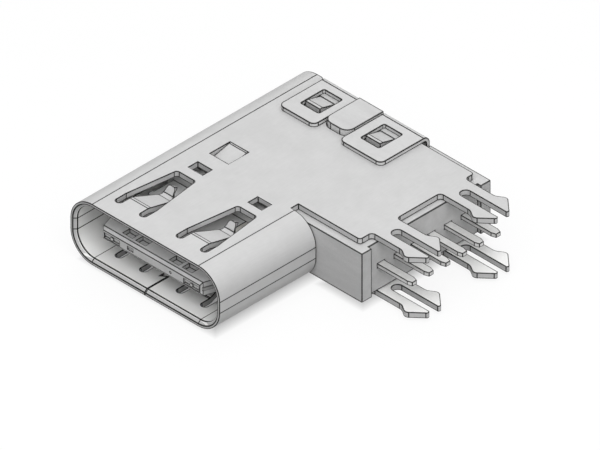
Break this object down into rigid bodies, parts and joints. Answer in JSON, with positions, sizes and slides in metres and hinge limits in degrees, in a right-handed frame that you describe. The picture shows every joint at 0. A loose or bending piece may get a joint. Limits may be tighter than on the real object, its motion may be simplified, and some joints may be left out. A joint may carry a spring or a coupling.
{
  "type": "usb-c socket",
  "caption": "Side-entry Type-C receptacle on edge: folded metal shell with fork legs and springs, rear cover, housing, tongue with contacts and board tails.",
  "frame": {"origin": "centre of the mouth in the plane of its rim, where a plug enters", "axes": "+X across the mouth towards the circuit board, +Y from the mouth into the body, +Z over the thin way of the mouth"},
  "size_m": [0.014, 0.0135, 0.0036],
  "materials": {
    "shell_steel": "satin nickel-plated stainless sheet",
    "cover_steel": "satin nickel-plated stainless sheet",
    "housing_plastic": "fine matt moulded liquid-crystal polymer, grey",
    "tongue_plastic": "fine matt moulded liquid-crystal polymer, grey",
    "plate_steel": "bare stamped stainless sheet",
    "terminal_metal": "matt tin over nickel on stamped copper alloy"
  },
  "bodies": {
    "root": {"shell": "shell_steel", "rear_cover": "cover_steel", "housing": "housing_plastic", "tongue": "tongue_plastic", "mid_plate": "plate_steel", "terminal_ground_upper": "terminal_metal", "terminal_power_upper": "terminal_metal", "terminal_config_lower": "terminal_metal", "terminal_config_upper": "terminal_metal", "terminal_power_lower": "terminal_metal", "terminal_ground_lower": "terminal_metal"}
  },
  "joints": []
}
